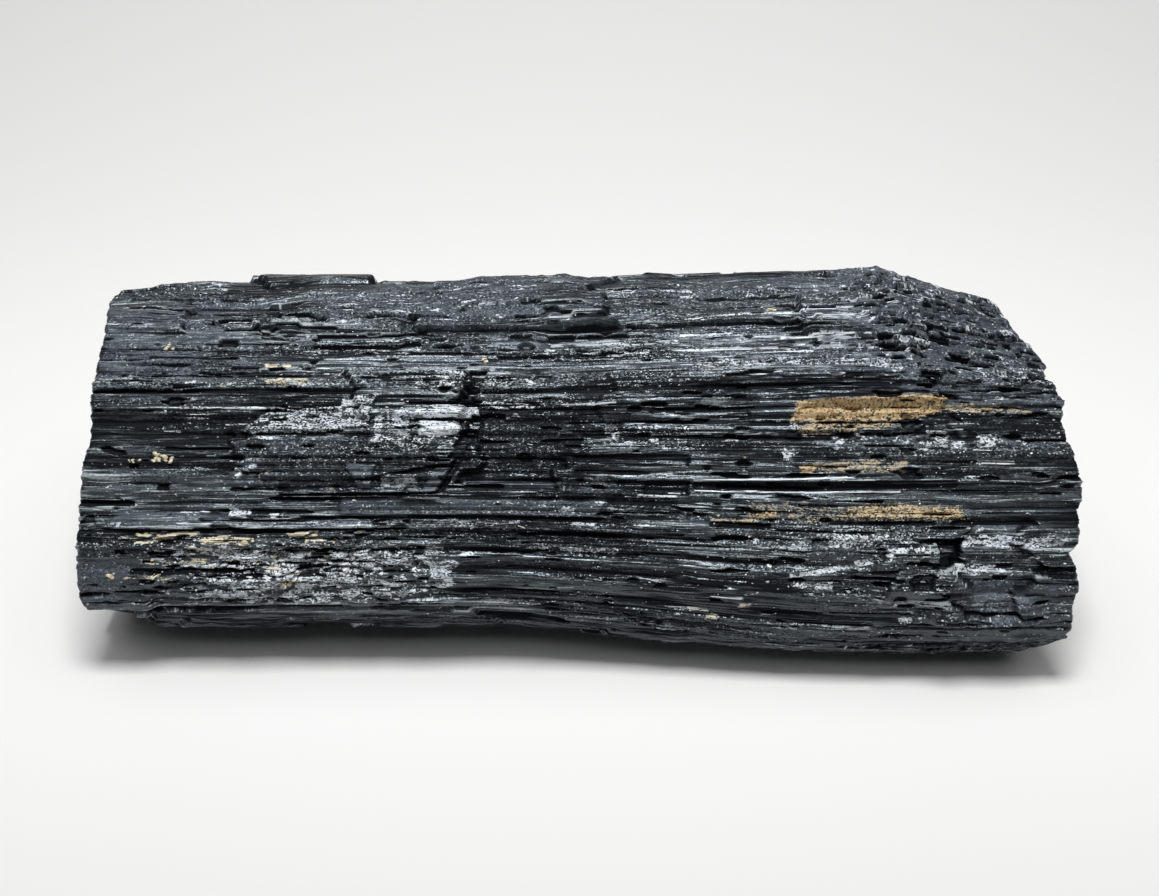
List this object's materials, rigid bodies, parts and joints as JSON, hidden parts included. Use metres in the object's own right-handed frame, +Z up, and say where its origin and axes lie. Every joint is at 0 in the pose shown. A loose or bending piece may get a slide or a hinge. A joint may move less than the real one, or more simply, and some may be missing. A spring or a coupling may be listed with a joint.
{
  "type": "tourmaline crystal",
  "caption": "Large black tourmaline crystal: a striated log with stepped ledges, snapped off at both ends, lying on a worn flat underside.",
  "frame": {"origin": "on the surface the crystal rests on, under the middle of its bounding box", "axes": "+X along the crystal's length, towards the end with the worn shoulder; +Z up; -Y the front, where the foot is fuller"},
  "size_m": [0.1886, 0.0759, 0.0607],
  "materials": {
    "black_tourmaline": "glossy black with grey abrasion, silvery mica on the ledges and a few ochre stains"
  },
  "bodies": {
    "root": {"tourmaline_crystal": "black_tourmaline"}
  },
  "joints": []
}
